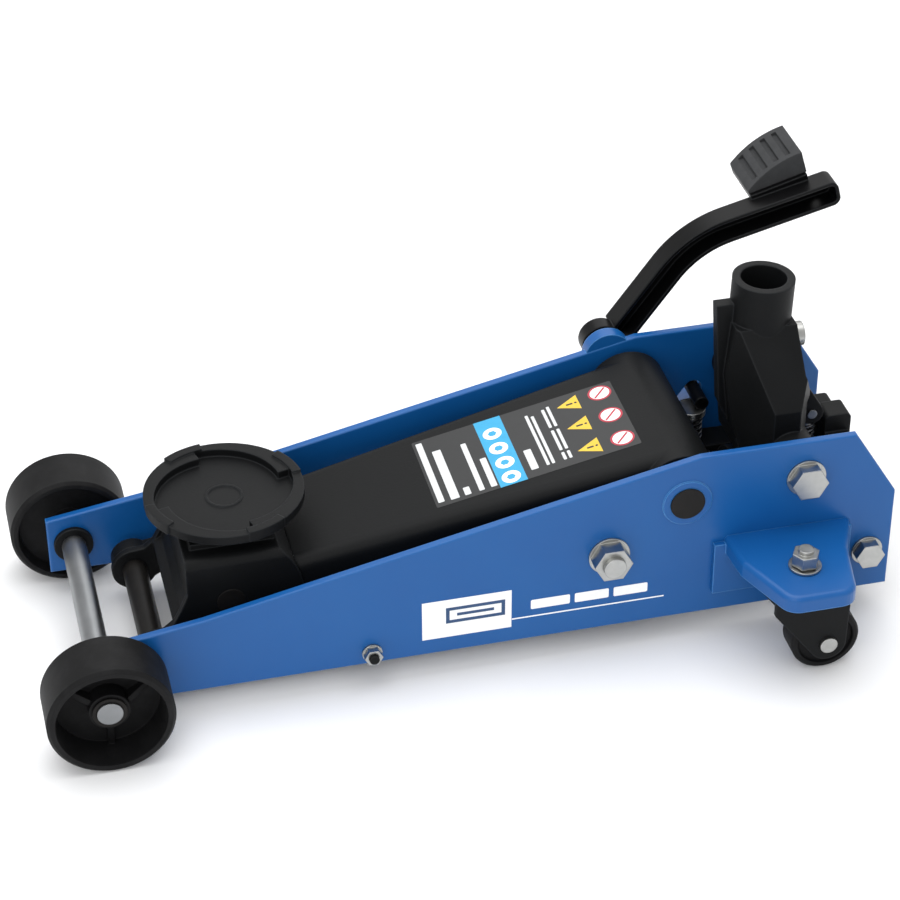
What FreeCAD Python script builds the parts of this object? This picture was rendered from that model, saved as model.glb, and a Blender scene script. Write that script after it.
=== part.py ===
"""Hydraulic floor jack with a quick-lift foot pedal, as a parametric FreeCAD document.

The jack stands lowered on the floor.  +Z is up, +X points to the handle end, -Y is the left side.
The origin is on the floor, below the middle of the whole jack's box.
Lengths along X are stored as distances behind the front axle, and X() moves them to the origin.
"""
import FreeCAD, Part
import math
import os
import Sketcher

V = FreeCAD.Vector
Rotation = FreeCAD.Rotation
Placement = FreeCAD.Placement

doc = FreeCAD.newDocument("floor_jack")
sheet = doc.addObject("Spreadsheet::Sheet", "Sizes")


# ---------------------------------------------------------------- sizes that know their cell
class Size:
    """A length or angle: its number, and the spreadsheet expression that gives it."""

    def __init__(self, value, text):
        self.value = value
        self.text = text

    def __add__(self, other):
        return Size(self.value + number(other), f"({self.text} + {formula(other)})")

    def __sub__(self, other):
        return Size(self.value - number(other), f"({self.text} - {formula(other)})")

    def __mul__(self, other):
        return Size(self.value * number(other), f"({self.text} * {formula(other)})")

    def __truediv__(self, other):
        return Size(self.value / number(other), f"({self.text} / {formula(other)})")

    def __radd__(self, other):
        return Size(number(other) + self.value, f"({formula(other)} + {self.text})")

    def __rsub__(self, other):
        return Size(number(other) - self.value, f"({formula(other)} - {self.text})")

    def __rmul__(self, other):
        return self * other

    def __neg__(self):
        return Size(-self.value, f"(-1 * {self.text})")


def number(size):
    return size.value if isinstance(size, Size) else float(size)


def formula(size):
    return size.text if isinstance(size, Size) else str(float(size))


class Sheet:
    """The driving dimensions, one attribute per spreadsheet alias."""


d = Sheet()
sheet_row = 0


def sizes(title, **values):
    """Write a block of driving dimensions to the spreadsheet and keep them on d."""
    global sheet_row
    sheet_row += 1
    sheet.set(f"A{sheet_row}", title)
    for name, value in values.items():
        sheet_row += 1
        sheet.set(f"A{sheet_row}", name)
        sheet.set(f"B{sheet_row}", str(value))
        sheet.setAlias(f"B{sheet_row}", name)
        setattr(d, name, Size(float(value), f"Sizes.{name}"))


sizes("Whole jack", axle_x=-302.78, fit_gap=0.05)
sizes("Side plates", plate_inner=85.3, plate_outer=92.3, nose_ahead=20.6, plate_foot=22.0,
      nose_top=73.0, bend_back=80.0, bend_top=88.5, kink_back=476.0, plate_top=174.6,
      chamfer_back=603.4, tail_back=640.5, tail_top=114.6, plate_edge=1.5, boss_ring=20.0)
sizes("Main pivot and lift", pivot_back=465.6, pivot_height=133.8, shaft_radius=14.0,
      half_lift=32.25, lever_radius=70.0, barrel_radius=33.2, barrel_half=77.0)
sizes("Parallel link", link_frame_back=403.1, link_frame_height=93.6, link_front_back=45.0,
      link_front_height=38.0, link_inner=60.0, link_outer=72.0, link_width=24.0,
      link_pin=10.0, link_eye=17.0)
sizes("Lift arm", arm_start=160.0, arm_slope=0.207, arm_top_at_axle=71.35, arm_depth=38.0,
      arm_half_front=54.5, arm_half_rear=73.0, arm_rear=440.0, arm_wall=6.0, arm_round=11.0,
      fork_inner=44.0, fork_outer=50.5, fork_eye=20.0, carrier_pin=11.0)
sizes("Saddle and its carrier", saddle_back=115.0, saddle_radius=63.8, saddle_top=145.0,
      saddle_floor=136.5, saddle_bottom=132.0, stud_radius=12.5, carrier_front=73.7,
      carrier_top=120.0, carrier_foot=60.0, carrier_half=58.0, carrier_wall=6.0,
      carrier_swing=58.0, carrier_round=8.0, seat_half=42.0, eye_radius=18.5)
sizes("Front axle and wheels", axle_radius=10.0, axle_half=136.0, wheel_radius=49.15,
      wheel_inner=100.3, wheel_outer=145.8, hub_radius=16.0, hub_inner=101.9, hub_outer=132.5)
sizes("Casters", stem_back=546.4, stem_side=145.7, stem_radius=8.0, bracket_top=95.3,
      bracket_thick=5.0, bracket_front=498.0, bracket_rear=603.5, bracket_edge=183.7,
      bracket_deep=14.0, trail=18.1, caster_radius=28.0, caster_half=12.0, caster_axle=7.0,
      fork_top=80.0, fork_wall=4.0)
sizes("Ties and fasteners", front_tie_back=211.2, front_tie_height=33.3, rear_bolt_back=620.4,
      rear_bolt_height=59.6, handle_back=563.1, handle_height=141.3, handle_bolt=9.0)
sizes("Hydraulic unit", ram_height=69.0, ram_radius=12.0, ram_head=23.0, ram_front=515.3,
      ram_rear=616.0, tube_radius=30.0, tube_front=530.0, block_front=575.0, block_rear=634.0,
      block_half=38.0, block_foot=32.0, block_top=103.5, block_low_top=92.0,
      tank_radius=37.5, tank_front=534.0, tower_front=608.0,
      plug_back=545.0, valve_radius=6.0, valve_ball=7.5, valve_neck=4.0)
sizes("Hand pump and handle socket", roller_behind=30.0, roller_above=8.0, roller_radius=9.0,
      plunger_radius=8.0, cap_top=140.0, socket_radius=25.0, socket_bore=18.5,
      socket_top=272.5, socket_lean=-2.0, socket_ahead=16.1, socket_depth=75.0,
      driver_lean=14.3, yoke_half=58.0, lock_height=215.0)
sizes("Foot pedal and quick pump", pedal_back=453.0, pedal_height=160.0, pedal_boss=20.0,
      pedal_inner=104.0, pedal_outer=127.0, pedal_stud=8.0, pedal_hub=17.0, bend_corner_back=529.0,
      bend_corner_height=244.4, pedal_tip_back=653.5, pedal_rise=53.6, pedal_fall=14.3,
      pedal_bend=90.0, pedal_width=22.0, pedal_wall=3.0, finger_back=528.0, finger_height=116.0,
      finger_radius=6.0, finger_end=60.5, pedal_swing=9.0, quick_back=521.0, quick_side=67.5,
      quick_radius=7.0, quick_top=109.7)
sizes("Springs", return_side=46.5, return_radius=6.5, return_wire=2.0)
doc.recompute()


def X(distance_behind_axle):
    """A place along X, from its distance behind the front axle."""
    return d.axle_x + distance_behind_axle


# ---------------------------------------------------------------- ways to make a piece
TURNS = {
    "x": Rotation(V(0, 1, 0), 90),
    "y": Rotation(V(1, 0, 0), -90),
    "z": Rotation(),
}


def bind(thing, prop, size):
    thing.setExpression(prop, formula(size))


def put(thing, place, turn=None):
    """Place a thing by three sizes, bound to the sheet."""
    thing.Placement = Placement(V(*[number(p) for p in place]), turn or Rotation())
    for letter, size in zip("xyz", place):
        bind(thing, f"Placement.Base.{letter}", size)
    return thing


def rod(name, along, start, length, radius):
    """A round bar from start, along one axis."""
    bar = doc.addObject("Part::Cylinder", name)
    bind(bar, "Radius", radius)
    bind(bar, "Height", length)
    return put(bar, start, TURNS[along])


def rod_between(name, x, z, low, high, radius):
    """A round bar across the jack, between two places along Y."""
    return rod(name, "y", (x, low, z), high - low, radius)


def box(name, low, high):
    """A box from its lowest to its highest corner."""
    block = doc.addObject("Part::Box", name)
    for prop, a, b in zip(("Length", "Width", "Height"), low, high):
        bind(block, prop, b - a)
    return put(block, low)


def hexagon(name, along, start, height, flats):
    """A hexagon bar, for nuts and bolt heads, sized across its flats."""
    nut = doc.addObject("Part::Prism", name)
    nut.Polygon = 6
    bind(nut, "Circumradius", flats / math.sqrt(3))
    bind(nut, "Height", height)
    return put(nut, start, TURNS[along])


def beam(name, at, angle, length, below, above, low, high):
    """A straight bar in an upright plane, from a point, at an angle above +X."""
    bar = doc.addObject("Part::Box", name)
    bind(bar, "Length", length)
    bind(bar, "Width", high - low)
    bind(bar, "Height", below + above)
    slope = math.radians(angle)
    corner = (at[0] + below * math.sin(slope), low, at[1] - below * math.cos(slope))
    return put(bar, corner, Rotation(V(0, 1, 0), -angle))


def fuse(name, *pieces):
    joined = doc.addObject("Part::MultiFuse", name)
    joined.Shapes = list(pieces)
    joined.Refine = True
    return joined


def cut(name, base, *tools):
    left = doc.addObject("Part::Cut", name)
    left.Base = base
    left.Tool = tools[0] if len(tools) == 1 else fuse(f"{name}_tools", *tools)
    return left


def common(name, *pieces):
    shared = doc.addObject("Part::MultiCommon", name)
    shared.Shapes = list(pieces)
    return shared


def group(name, *pieces):
    """Like pieces that are not joined, kept as separate solids of one node."""
    several = doc.addObject("Part::Compound", name)
    several.Links = list(pieces)
    return several


def ring(name, along, start, length, outer, inner):
    """A round tube or washer."""
    return cut(name, rod(f"{name}_outer", along, start, length, outer),
               rod(f"{name}_bore", along, start, length, inner))


def both_sides(name, maker):
    """Make a piece on the left (-1) and on the right (+1), as one group."""
    return group(name, *[maker(f"{name}_{side}", sign) for side, sign in (("l", -1), ("r", 1))])


def span(sign, inner, outer):
    """Low and high Y of a stretch between two distances from the middle plane."""
    if sign > 0:
        return inner, outer
    return -outer, -inner


def ball(name, centre, radius):
    sphere = doc.addObject("Part::Sphere", name)
    bind(sphere, "Radius", radius)
    return put(sphere, centre)


def side_rod(name, sign, x, z, inner, outer, radius):
    """A round bar across the jack on one side, between two distances from the middle."""
    low, high = span(sign, inner, outer)
    return rod_between(name, x, z, low, high, radius)


def side_hexagon(name, sign, x, z, inner, outer, flats):
    low, high = span(sign, inner, outer)
    return hexagon(name, "y", (x, low, z), high - low, flats)


def side_box(name, sign, low_xz, high_xz, inner, outer):
    low, high = span(sign, inner, outer)
    return box(name, (low_xz[0], low, low_xz[1]), (high_xz[0], high, high_xz[1]))


def outline(sketch, points):
    """Draw a closed outline whose every corner is bound to the sheet."""
    count = len(points)
    for i, (u, v) in enumerate(points):
        after = points[(i + 1) % count]
        sketch.addGeometry(Part.LineSegment(V(number(u), number(v), 0),
                                            V(number(after[0]), number(after[1]), 0)))
    for i in range(count):
        sketch.addConstraint(Sketcher.Constraint("Coincident", i, 2, (i + 1) % count, 1))
    for i, (u, v) in enumerate(points):
        for kind, size in (("DistanceX", u), ("DistanceY", v)):
            at = sketch.addConstraint(Sketcher.Constraint(kind, -1, 1, i, 1, number(size)))
            if isinstance(size, Size):
                sketch.setExpression(f"Constraints[{at}]", size.text)


def rounded(points, radii):
    """An outline with some corners turned into arcs of short straight steps."""
    result = []
    for i, corner in enumerate(points):
        if i not in radii:
            result.append(corner)
            continue
        here = V(number(corner[0]), number(corner[1]), 0)
        arms = []
        for other in (points[i - 1], points[(i + 1) % len(points)]):
            arms.append((V(number(other[0]), number(other[1]), 0) - here).normalize())
        half = arms[0].getAngle(arms[1]) / 2
        centre = (arms[0] + arms[1]).normalize() * (radii[i] / math.sin(half))
        start, end = [arm * (radii[i] / math.tan(half)) - centre for arm in arms]
        for step in range(7):
            spoke = (start * (1 - step / 6) + end * (step / 6)).normalize() * radii[i]
            result.append((corner[0] + (centre + spoke).x, corner[1] + (centre + spoke).y))
    return result


def sketched_body(name, plane, points):
    """A body and a sketch on one of its own origin planes."""
    body = doc.addObject("PartDesign::Body", name)
    sketch = body.newObject("Sketcher::SketchObject", f"{name}_sketch")
    role = [p for p in body.Origin.OriginFeatures if p.Role == f"{plane}_Plane"][0]
    sketch.AttachmentSupport = [(role, "")]
    sketch.MapMode = "FlatFace"
    outline(sketch, points)
    return body, sketch


def slab(name, plane, points, low, high):
    """An outline on XZ, XY or YZ, padded from low to high across that plane."""
    body, sketch = sketched_body(name, plane, points)
    pad = body.newObject("PartDesign::Pad", f"{name}_pad")
    pad.Profile = sketch
    bind(pad, "Length", high - low)
    if plane == "XZ":
        pad.Reversed = True
    axis = {"XZ": "y", "XY": "z", "YZ": "x"}[plane]
    bind(body, f"Placement.Base.{axis}", low)
    doc.recompute()
    return body


def spun(name, points):
    """An outline of (radius, distance along) turned once about the Y axis."""
    body, sketch = sketched_body(name, "XY", points)
    turned = body.newObject("PartDesign::Revolution", f"{name}_turned")
    turned.Profile = sketch
    turned.ReferenceAxis = (sketch, ["V_Axis"])
    turned.Angle = 360
    doc.recompute()
    return body


def edges_where(shape, test):
    """Names of the edges whose ends and middle all pass a test."""
    names = []
    for i, edge in enumerate(shape.Edges):
        middle = edge.valueAt((edge.FirstParameter + edge.LastParameter) / 2)
        if all(test(p) for p in [v.Point for v in edge.Vertexes] + [middle]):
            names.append(f"Edge{i + 1}")
    return names


def round_body(body, radius, test, skip=None):
    """Fillet the edges of a body's last feature that pass a test, less those that pass skip."""
    tip = body.Tip
    shift = body.Placement.Base
    names = edges_where(tip.Shape, lambda p: test(p + shift))
    if skip:
        left_sharp = edges_where(tip.Shape, lambda p: skip(p + shift))
        names = [name for name in names if name not in left_sharp]
    rounded = body.newObject("PartDesign::Fillet", f"{body.Name}_round_{len(body.Group)}")
    rounded.Base = (tip, names)
    bind(rounded, "Radius", radius)
    doc.recompute()
    return body


def near(a, b, gap=0.01):
    return abs(a - number(b)) < gap


def coil(name, start, axis, length, radius, wire, turns):
    """A coil spring, with its end turns lying square to the axis."""
    pitch = length / turns
    helix = Part.makeLongHelix(pitch, length, radius)
    section = Part.Wire(Part.makeCircle(wire, V(radius, 0, 0), V(0, 1, 0)))
    sweep = Part.Wire(helix.Edges).makePipeShell([section], True, True)
    spring = doc.addObject("Part::Feature", name)
    spring.Shape = sweep
    spring.Placement = Placement(start, Rotation(V(0, 0, 1), axis))
    return spring


nodes = {}


def node(name, thing):
    """Name a finished piece, which becomes one file."""
    thing.Label = name
    nodes[name] = thing
    return thing


SIDES = (("left", -1), ("right", 1))

# ---------------------------------------------------------------- places used by several pieces
pivot = (X(d.pivot_back), d.pivot_height)
link_frame = (X(d.link_frame_back), d.link_frame_height)
link_front = (X(d.link_front_back), d.link_front_height)
carrier_pivot = (link_front[0] + d.pivot_back - d.link_frame_back,
                 link_front[1] + d.pivot_height - d.link_frame_height)
handle = (X(d.handle_back), d.handle_height)
pedal = (X(d.pedal_back), d.pedal_height)
finger = (X(d.finger_back), d.finger_height)
half_lift = math.radians(d.half_lift.value)
lever_pin = (pivot[0] + d.lever_radius * math.sin(half_lift),
             pivot[1] - d.lever_radius * math.cos(half_lift))
front_tie = (X(d.front_tie_back), d.front_tie_height)
rear_bolt = (X(d.rear_bolt_back), d.rear_bolt_height)


def arm_top(back):
    """Height of the lift arm's top face, at a distance behind the axle."""
    return d.arm_top_at_axle + d.arm_slope * back


# ---------------------------------------------------------------- side plates
plate_outline = [
    (X(-d.nose_ahead), d.plate_foot), (X(d.tail_back), d.plate_foot), (X(d.tail_back), d.tail_top),
    (X(d.chamfer_back), d.plate_top), (X(d.kink_back), d.plate_top), (X(d.bend_back), d.bend_top),
    (X(-d.nose_ahead), d.nose_top),
]


def side_plate(side, sign):
    """A flame-cut steel plate with a raised ring round the main pivot and its bolt holes."""
    low, high = span(sign, d.plate_inner, d.plate_outer)
    blank = slab(f"plate_{side}_blank", "XZ", plate_outline, low, high)
    round_body(blank, d.plate_edge, lambda p: near(p.y, low) or near(p.y, high))
    name = f"plate_{side}"
    holes = [("axle_hole", (X(0), d.wheel_radius), d.axle_radius),
             ("pivot_hole", pivot, d.shaft_radius),
             ("link_hole", link_frame, d.link_pin - 1),
             ("front_tie_hole", front_tie, 4),
             ("rear_bolt_hole", rear_bolt, 7),
             ("handle_hole", handle, d.handle_bolt)]
    cutters = [side_rod(f"{name}_{hole}", sign, at[0], at[1], d.plate_inner - 5, d.plate_outer + 5, r)
               for hole, at, r in holes]
    raised = [side_rod(f"{name}_boss", sign, pivot[0], pivot[1], d.plate_outer - 2,
                       d.plate_outer + 1.5, d.boss_ring)]
    if side == "right":
        cutters += finger_slot(name)
        cutters.append(rod_between(f"{name}_stud_bore", pedal[0], pedal[1], d.plate_inner + 1,
                                   d.plate_outer + 9, d.pedal_stud))
        raised.append(rod_between(f"{name}_pedal_boss", pedal[0], pedal[1], d.plate_inner + 0.5,
                                  d.plate_outer + 4.7, d.pedal_boss))
    return cut(f"side_plate_{side}", fuse(f"{name}_solid", blank, *raised), *cutters)


def finger_slot(name):
    """The slot that the pedal's finger passes through, as long as its swing."""
    reach = V(number(finger[0] - pedal[0]), 0, number(finger[1] - pedal[1]))
    swung = Rotation(V(0, 1, 0), d.pedal_swing.value).multVec(reach)
    end = (pedal[0] + swung.x, pedal[1] + swung.z)
    wide = d.finger_radius + 1.5
    run = math.dist((number(finger[0]), number(finger[1])), (number(end[0]), number(end[1])))
    rise = math.degrees(math.atan2(number(finger[1] - end[1]), number(finger[0] - end[0])))
    low, high = d.plate_inner - 5, d.plate_outer + 5
    ends = [rod_between(f"{name}_slot_{i}", at[0], at[1], low, high, wide)
            for i, at in enumerate((finger, end))]
    return ends + [beam(f"{name}_slot_middle", end, rise, run, wide, wide, low, high)]


for side, sign in SIDES:
    node(f"side_plate_{side}", side_plate(side, sign))

# ---------------------------------------------------------------- front axle and wheels
axle_at = (X(0), d.wheel_radius)
node("front_axle", rod_between("front_axle", axle_at[0], axle_at[1], -d.axle_half, d.axle_half,
                               d.axle_radius))
node("axle_collars", both_sides("axle_collars", lambda name, sign: ring(
    name, "y", (axle_at[0], span(sign, d.plate_inner - 4, d.plate_inner)[0], axle_at[1]),
    4, d.axle_radius + 6, d.axle_radius)))
node("wheel_spacers", both_sides("wheel_spacers", lambda name, sign: ring(
    name, "y", (axle_at[0], span(sign, d.plate_outer, d.hub_inner - 0.4)[0], axle_at[1]),
    d.hub_inner - 0.4 - d.plate_outer, d.axle_radius + 5, d.axle_radius)))
node("wheel_clips", both_sides("wheel_clips", lambda name, sign: ring(
    name, "y", (axle_at[0], span(sign, d.hub_outer + 0.3, d.hub_outer + 2.1)[0], axle_at[1]),
    1.8, d.axle_radius + 3.5, d.axle_radius)))

wheel_section = [
    (d.axle_radius + d.fit_gap, d.hub_inner), (d.hub_radius, d.hub_inner),
    (d.hub_radius, d.hub_inner + 10), (d.wheel_radius - 8, d.hub_inner + 10),
    (d.wheel_radius - 6, d.wheel_inner), (d.wheel_radius - 2.5, d.wheel_inner),
    (d.wheel_radius, d.wheel_inner + 2.5), (d.wheel_radius, d.wheel_outer - 2.5),
    (d.wheel_radius - 2.5, d.wheel_outer), (d.wheel_radius - 6.5, d.wheel_outer),
    (d.wheel_radius - 8.5, d.hub_inner + 16), (d.hub_radius, d.hub_inner + 16),
    (d.hub_radius, d.hub_outer), (d.axle_radius + d.fit_gap, d.hub_outer),
]


def front_wheel(side, sign):
    """A cast wheel: hub, web and rim turned in one, with three ribs on the outer face."""
    disc = spun(f"wheel_{side}_disc", wheel_section)
    ribs = []
    for i in range(3):
        rib = slab(f"wheel_{side}_rib_{i}", "XY", [
            (d.hub_radius - 2, d.hub_inner + 15), (d.wheel_radius - 8, d.hub_inner + 15),
            (d.wheel_radius - 8, d.hub_inner + 19), (d.hub_radius - 2, d.hub_outer - 3)],
            -2.5, 2.5)
        rib.Placement = Placement(Rotation(V(0, 1, 0), 90 + 120 * i).multVec(V(0, 0, -2.5)),
                                  Rotation(V(0, 1, 0), 90 + 120 * i))
        ribs.append(rib)
    wheel = fuse(f"front_wheel_{side}", disc, *ribs)
    return put(wheel, (axle_at[0], 0, axle_at[1]),
               Rotation(V(0, 0, 1), 180 if sign < 0 else 0))


for side, sign in SIDES:
    node(f"front_wheel_{side}", front_wheel(side, sign))

# ---------------------------------------------------------------- rear casters
def bracket(side, sign):
    """A pressed steel shelf with rolled edges, and a flange that lies on the side plate."""
    front, rear, edge = X(d.bracket_front), X(d.bracket_rear), d.bracket_edge
    top, foot, thick = d.bracket_top, d.bracket_top - d.bracket_deep, d.bracket_thick
    name = f"bracket_{side}"

    def shelf(part, inset, low, high):
        points = [(front + inset, d.plate_outer), (front + 3 + inset, edge - 55),
                  (front + 24 + inset, edge - inset), (rear - 27 - inset, edge - inset),
                  (rear - 15 - inset, edge - 55), (rear - inset, d.plate_outer)]
        points = rounded(points, {2: 15 - number(inset), 3: 14 - number(inset)})
        return slab(f"{name}_{part}", "XY", [(x, sign * y) for x, y in points], low, high)

    outer = shelf("outer", 0, foot, top)
    round_body(outer, 4.5, lambda p: near(p.z, top), lambda p: near(abs(p.y), d.plate_outer))
    inner = shelf("inner", thick, foot - 1, top - thick)
    flange = side_box(f"{name}_flange", sign, (X(489), 42.5),
                      (rear, top - thick), d.plate_outer, d.plate_outer + thick)
    hole = rod(f"{name}_hole", "z", (X(d.stem_back), sign * d.stem_side, 60),
               60, d.stem_radius + d.fit_gap)
    shell = cut(f"{name}_shell", outer, inner)
    return cut(f"caster_bracket_{side}", fuse(f"{name}_solid", shell, flange), hole)


def caster_fork(side, sign):
    """A fork of a round top plate and two tapered cheeks, with its ball race on top."""
    x, y = X(d.stem_back), sign * d.stem_side
    name = f"fork_{side}"
    axle = (x + d.trail, d.caster_radius)
    parts = [rod(f"{name}_race", "z", (x, y, d.fork_top), 3.5, 26),
             box(f"{name}_top", (x - 28, y - d.caster_half - 5.5, d.fork_top - d.fork_wall),
                 (x + 34, y + d.caster_half + 5.5, d.fork_top))]
    for i, inner in enumerate((-d.caster_half - 5.5, d.caster_half + 1.5)):
        low = y + inner
        parts.append(slab(f"{name}_cheek_{i}", "XZ", [
            (x - 28, d.fork_top), (x + 34, d.fork_top), (axle[0] + 15, axle[1]),
            (axle[0] - 12, axle[1] - 9), (x - 28, d.fork_top - 16)], low, low + d.fork_wall))
        parts.append(rod_between(f"{name}_end_{i}", axle[0], axle[1], low, low + d.fork_wall,
                                 15))
    bores = [rod_between(f"{name}_axle_bore", axle[0], axle[1], y - 20, y + 20, d.caster_axle),
             rod(f"{name}_stem_bore", "z", (x, y, 70), 20, d.stem_radius)]
    return cut(f"caster_fork_{side}", fuse(f"{name}_solid", *parts), *bores)


def caster_wheel(side, sign):
    """A solid wheel turned in one with its hub, hollowed a little on both faces."""
    half = d.caster_half
    body = spun(f"caster_wheel_{side}", [
        (d.caster_axle + d.fit_gap, -half - 1), (13, -half - 1), (13, -half + 3),
        (d.caster_radius - 6, -half + 3), (d.caster_radius - 5, -half), (d.caster_radius - 2, -half),
        (d.caster_radius, -half + 2), (d.caster_radius, half - 2), (d.caster_radius - 2, half),
        (d.caster_radius - 5, half), (d.caster_radius - 6, half - 3), (13, half - 3),
        (13, half + 1), (d.caster_axle + d.fit_gap, half + 1)])
    return put(body, (X(d.stem_back) + d.trail, sign * d.stem_side, d.caster_radius))


def caster_stem(side, sign):
    """The king bolt with its head under the fork, and its washer and nut above the shelf."""
    x, y = X(d.stem_back), sign * d.stem_side
    name = f"stem_{side}"
    bolt = fuse(f"{name}_bolt", rod(f"{name}_head", "z", (x, y, 69.5), 6.5, 12),
                rod(f"{name}_shank", "z", (x, y, 69.5), 29.5, d.stem_radius),
                rod(f"{name}_thread", "z", (x, y, 90), 23, d.stem_radius - 2))
    nut = cut(f"{name}_nut", hexagon(f"{name}_hex", "z", (x, y, 99), 10.5, 19),
              rod(f"{name}_nut_bore", "z", (x, y, 98), 15, d.stem_radius - 2))
    washer = ring(f"{name}_washer", "z", (x, y, d.bracket_top + 0.5), 2, 13, d.stem_radius)
    return group(f"caster_stem_{side}", bolt, nut, washer)


for side, sign in SIDES:
    x, y = X(d.stem_back), sign * d.stem_side
    node(f"caster_bracket_{side}", bracket(side, sign))
    node(f"caster_fork_{side}", caster_fork(side, sign))
    node(f"caster_wheel_{side}", caster_wheel(side, sign))
    node(f"caster_stem_{side}", caster_stem(side, sign))
    node(f"caster_axle_{side}", rod_between(
        f"caster_axle_{side}", x + d.trail, d.caster_radius, y - d.caster_half - 8,
        y + d.caster_half + 8, d.caster_axle))
node("caster_races", both_sides("caster_races", lambda name, sign: ring(
    name, "z", (X(d.stem_back), sign * d.stem_side, d.bracket_top - d.bracket_thick - 5.5),
    5.5, 25, d.stem_radius + 1)))

# ---------------------------------------------------------------- shafts, ties and their nuts
node("main_pivot_shaft", rod_between("main_pivot_shaft", pivot[0], pivot[1], -d.plate_outer - 2.5,
                                     d.plate_outer + 2.5, d.shaft_radius))


def stepped_bar(name, at, half_thick, thick, half_thin, thin):
    return fuse(name, rod_between(f"{name}_bar", at[0], at[1], -half_thick, half_thick, thick),
                rod_between(f"{name}_ends", at[0], at[1], -half_thin, half_thin, thin))


def plate_nuts(name, at, height, flats, thread):
    """A nut and washer on the outside of each plate."""
    def one(part, sign):
        face = d.plate_outer
        nut = side_hexagon(f"{part}_hex", sign, at[0], at[1], face + 2, face + 2 + height, flats)
        washer = side_rod(f"{part}_washer", sign, at[0], at[1], face, face + 2, flats * 0.62)
        bore = side_rod(f"{part}_bore", sign, at[0], at[1], face - 1, face + height + 5, thread)
        return cut(part, fuse(f"{part}_solid", nut, washer), bore)
    return both_sides(name, one)


def short_bolts(name, at, inner, flats, height, shank):
    """A bolt through each plate from outside, with its washer under the head."""
    def one(part, sign):
        face = d.plate_outer
        stem = side_rod(f"{part}_shank", sign, at[0], at[1], inner, face + 3, shank)
        washer = side_rod(f"{part}_washer", sign, at[0], at[1], face, face + 2, flats * 0.62)
        head = side_hexagon(f"{part}_head", sign, at[0], at[1], face + 2, face + 2 + height, flats)
        return fuse(part, stem, washer, head)
    return both_sides(name, one)


node("front_tie_bar", stepped_bar("front_tie_bar", front_tie, d.plate_inner, 8,
                                  d.plate_outer + 11, 4))
node("front_tie_nuts", plate_nuts("front_tie_nuts", front_tie, 6.5, 13, 4))


def link_bolt(name, sign):
    """A shoulder bolt: head inside, the link's pin, a spacer collar, and a threaded end."""
    x, z = link_frame
    return fuse(name, side_rod(f"{name}_head", sign, x, z, d.link_inner - 4, d.link_inner - 0.4, 14),
                side_rod(f"{name}_pin", sign, x, z, d.link_inner - 4, d.plate_inner, d.link_pin),
                side_rod(f"{name}_collar", sign, x, z, d.link_outer + 0.4, d.plate_inner, 14),
                side_rod(f"{name}_end", sign, x, z, d.link_inner, d.plate_outer + 19, d.link_pin - 1))


node("link_bolts", both_sides("link_bolts", link_bolt))
node("link_nuts", plate_nuts("link_nuts", link_frame, 13, 27, d.link_pin - 1))
node("block_bolts", short_bolts("block_bolts", rear_bolt, 55, 21, 9, 7))
node("handle_bolts", short_bolts("handle_bolts", handle, 44, 26, 10, d.handle_bolt))

# ---------------------------------------------------------------- lift arm
def arm_solid(name, inset, depth_below):
    """The arm's tapered outer or inner form: a side outline cut to the plan's taper."""
    low_z = d.arm_depth + depth_below
    top = -inset
    side_view = slab(f"{name}_side", "XZ", [
        (X(d.arm_start - 12), arm_top(d.arm_start - 12) + top),
        (X(d.arm_start - 12), arm_top(d.arm_start - 12) - low_z),
        (X(d.arm_rear - inset), arm_top(d.arm_rear) - low_z),
        (X(d.arm_rear + 19), d.pivot_height),
        (X(d.arm_rear + 19), arm_top(d.arm_rear + 19) + top)], -90, 90)
    plan = slab(f"{name}_plan", "XY", [
        (X(d.arm_start - 40), -d.arm_half_front + inset + 2.6),
        (X(d.arm_rear + 40), -d.arm_half_rear + inset - 2.6),
        (X(d.arm_rear + 40), d.arm_half_rear - inset + 2.6),
        (X(d.arm_start - 40), d.arm_half_front - inset - 2.6)],
        0, 260)
    return common(name, side_view, plan)


def lever_plate(name, sign):
    """One of the two plates welded under the pivot tube, which carry the ram's roller."""
    low, high = span(sign, 26, 34)
    plate = beam(f"{name}_web", pivot, d.half_lift.value - 90, d.lever_radius, 16,
                 16, low, high)
    end = rod_between(f"{name}_end", lever_pin[0], lever_pin[1], low, high, 16)
    return [plate, end]


def fork_plate(name, sign):
    """A front ear of the arm, which hangs on the carrier's pin."""
    x, z = carrier_pivot
    low, high = span(sign, d.fork_inner, d.fork_outer)
    ear = slab(f"{name}_ear", "XZ", [
        (x, z + d.fork_eye), (X(d.arm_start - 4), arm_top(d.arm_start - 4) - 3), (X(230), arm_top(230) - 3),
        (X(230), arm_top(230) - d.arm_depth + 1),
        (X(d.arm_start), arm_top(d.arm_start) - d.arm_depth + 1), (x, z - d.fork_eye)], low, high)
    return [ear, rod_between(f"{name}_eye", x, z, low, high, d.fork_eye)]


arm_outer = arm_solid("arm_outer", 0, 0)
arm_inner = arm_solid("arm_inner", d.arm_wall, 10)
doc.recompute()
arm_rounded = doc.addObject("Part::Fillet", "arm_rounded")
arm_rounded.Base = arm_outer
arm_rounded.Edges = [
    (int(name[4:]), d.arm_round.value, d.arm_round.value)
    for name in edges_where(arm_outer.Shape, lambda p: abs(p.y) > 50 and near(
        p.z, arm_top(p.x - d.axle_x.value), 0.05))]
nose_cut = rod_between("arm_nose_cut", carrier_pivot[0], carrier_pivot[1], -95,
                       95, d.carrier_swing + 0.15)
arm_shell = cut("arm_shell", arm_rounded, arm_inner, nose_cut)
barrel = rod_between("arm_barrel", pivot[0], pivot[1], -d.barrel_half, d.barrel_half, d.barrel_radius)
arm_parts = [arm_shell, barrel]
for side, sign in SIDES:
    arm_parts += lever_plate(f"lever_{side}", sign)
    arm_parts += fork_plate(f"arm_fork_{side}", sign)
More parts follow.
